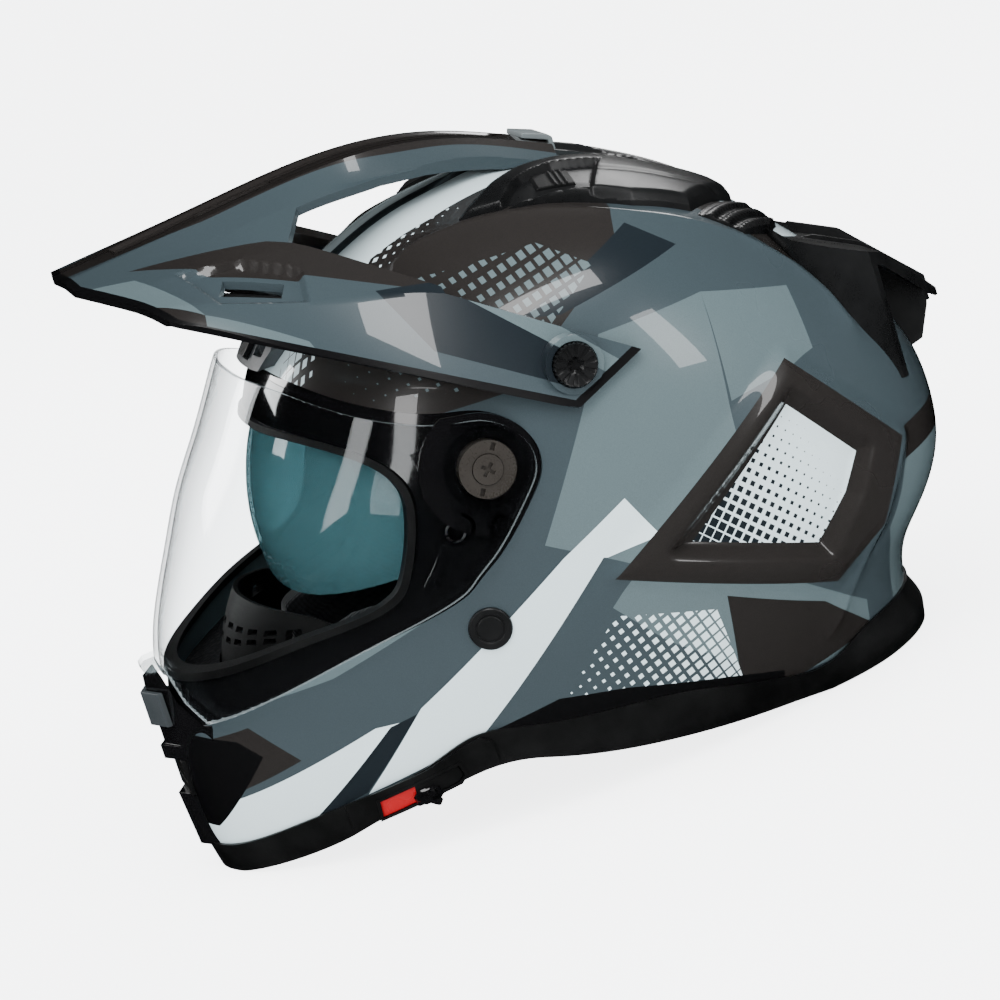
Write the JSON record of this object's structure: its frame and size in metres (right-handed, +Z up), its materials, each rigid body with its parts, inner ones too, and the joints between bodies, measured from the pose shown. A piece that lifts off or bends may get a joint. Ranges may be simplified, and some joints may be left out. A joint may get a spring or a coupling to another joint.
{
  "type": "dual sport helmet",
  "caption": "Full-face dual sport helmet with a tilting peak, a hinged clear visor, a drop-down tinted sun visor, sliding vents and a padded lining.",
  "frame": {"origin": "middle of the helmet's length and width, on the surface that it stands on", "axes": "+Z up, -Y forwards, the way the wearer faces, +X to the wearer's left"},
  "size_m": [0.2644, 0.401, 0.2875],
  "materials": {
    "shell_gloss": "painted composite shell under clear coat",
    "peak_gloss": "painted ABS under clear coat",
    "black_matte": "fine-textured black ABS",
    "black_gloss": "polished black ABS",
    "vent_grey": "grey moulded nylon",
    "clip_grey": "light grey moulded nylon",
    "clear_visor": "clear polycarbonate, hard coated",
    "tinted_visor": "teal tinted polycarbonate",
    "hub_grey": "brown-grey acetal",
    "gasket_rubber": "soft black rubber",
    "switch_red": "red moulded nylon",
    "eps_foam": "black expanded polystyrene",
    "lining_fabric": "brushed and mesh polyester",
    "neck_leather": "smooth black leatherette",
    "webbing": "woven polyester webbing",
    "steel": "zinc plated steel"
  },
  "bodies": {
    "helmet": {"outer_shell": "shell_gloss", "lower_trim": "black_matte", "eye_port_gasket": "gasket_rubber", "visor_base_plate_left": "black_gloss", "visor_base_plate_right": "black_gloss", "visor_hub_left": "hub_grey", "visor_hub_right": "hub_grey", "visor_pivot_screws": "hub_grey", "sun_visor_pins": "steel", "crown_mount": "black_matte", "peak_inserts": "steel", "top_vent_left": "black_gloss", "top_vent_right": "black_gloss", "top_vent_grille_left": "black_matte", "top_vent_grille_right": "black_matte", "brow_vent": "vent_grey", "rear_spoiler": "black_gloss", "chin_vent_housing": "black_gloss", "chin_vent_grille": "black_matte", "trim_cover_left": "black_matte", "trim_cover_right": "black_matte", "sun_slider_track": "switch_red", "side_plug_left": "black_matte", "side_plug_right": "black_matte", "eps_liner": "eps_foam", "chin_eps": "eps_foam", "cheek_pad_left": "lining_fabric", "cheek_pad_right": "lining_fabric", "crown_liner": "lining_fabric", "neck_roll": "neck_leather", "breath_deflector": "gasket_rubber", "chin_strap_left": "webbing", "chin_strap_right": "webbing", "strap_anchors": "steel", "strap_pad": "lining_fabric", "ratchet_strip": "black_matte", "buckle_body": "steel"},
    "visor_body": {"visor": "clear_visor"},
    "sun_visor_body": {"sun_visor": "tinted_visor"},
    "sun_slider_body": {"sun_visor_slider": "black_matte"},
    "peak_body": {"peak": "peak_gloss", "peak_clip": "clip_grey"},
    "peak_knob_left_body": {"peak_knob_left": "black_matte"},
    "peak_knob_right_body": {"peak_knob_right": "black_matte"},
    "top_slider_left_body": {"top_vent_slider_left": "black_matte"},
    "top_slider_right_body": {"top_vent_slider_right": "black_matte"},
    "brow_slider_body": {"brow_vent_slider": "black_matte"},
    "chin_slider_body": {"chin_vent_slider": "vent_grey"},
    "buckle_lever_body": {"buckle_lever": "steel"}
  },
  "joints": [
    {"name": "visor_hinge", "type": "hinge", "parent": "helmet", "child": "visor_body", "pos_m": [0, -0.044, 0.16], "axis": [-1, 0, 0], "range_deg": [0, 46]},
    {"name": "sun_visor_hinge", "type": "hinge", "parent": "helmet", "child": "sun_visor_body", "pos_m": [0, -0.03, 0.13], "axis": [-1, 0, 0], "range_deg": [0, 41]},
    {"name": "sun_slider_slide", "type": "slide", "parent": "helmet", "child": "sun_slider_body", "axis": [-0.422, -0.8843, -0.1997], "range_m": [0, 0.014]},
    {"name": "peak_tilt", "type": "hinge", "parent": "helmet", "child": "peak_body", "pos_m": [0, 0.0043, 0.1894], "axis": [-1, 0, 0], "range_deg": [-3, 1.8]},
    {"name": "peak_knob_left_turn", "type": "hinge", "parent": "helmet", "child": "peak_knob_left_body", "pos_m": [0.13, 0.0043, 0.1894], "axis": [1, 0, 0], "continuous": true},
    {"name": "peak_knob_right_turn", "type": "hinge", "parent": "helmet", "child": "peak_knob_right_body", "pos_m": [-0.13, 0.0043, 0.1894], "axis": [-1, 0, 0], "continuous": true},
    {"name": "top_vent_left_slide", "type": "slide", "parent": "helmet", "child": "top_slider_left_body", "axis": [0, 0.9661, -0.2583], "range_m": [0, 0.009]},
    {"name": "top_vent_right_slide", "type": "slide", "parent": "helmet", "child": "top_slider_right_body", "axis": [0, 0.9661, -0.2583], "range_m": [0, 0.009]},
    {"name": "brow_vent_slide", "type": "slide", "parent": "helmet", "child": "brow_slider_body", "axis": [0, 0.6919, 0.7219], "range_m": [0, 0.005]},
    {"name": "chin_vent_slide", "type": "slide", "parent": "helmet", "child": "chin_slider_body", "axis": [0, 0, -1], "range_m": [0, 0.008]},
    {"name": "buckle_lever_hinge", "type": "hinge", "parent": "helmet", "child": "buckle_lever_body", "pos_m": [0.042, -0.0615, 0.0256], "axis": [0, -1, 0], "range_deg": [0, 40], "stiffness_Nm_per_rad": 0.05}
  ],
  "couplings": [
    {"joint": "sun_slider_slide", "follows": "sun_visor_hinge", "m_per_rad": 0.019425}
  ]
}
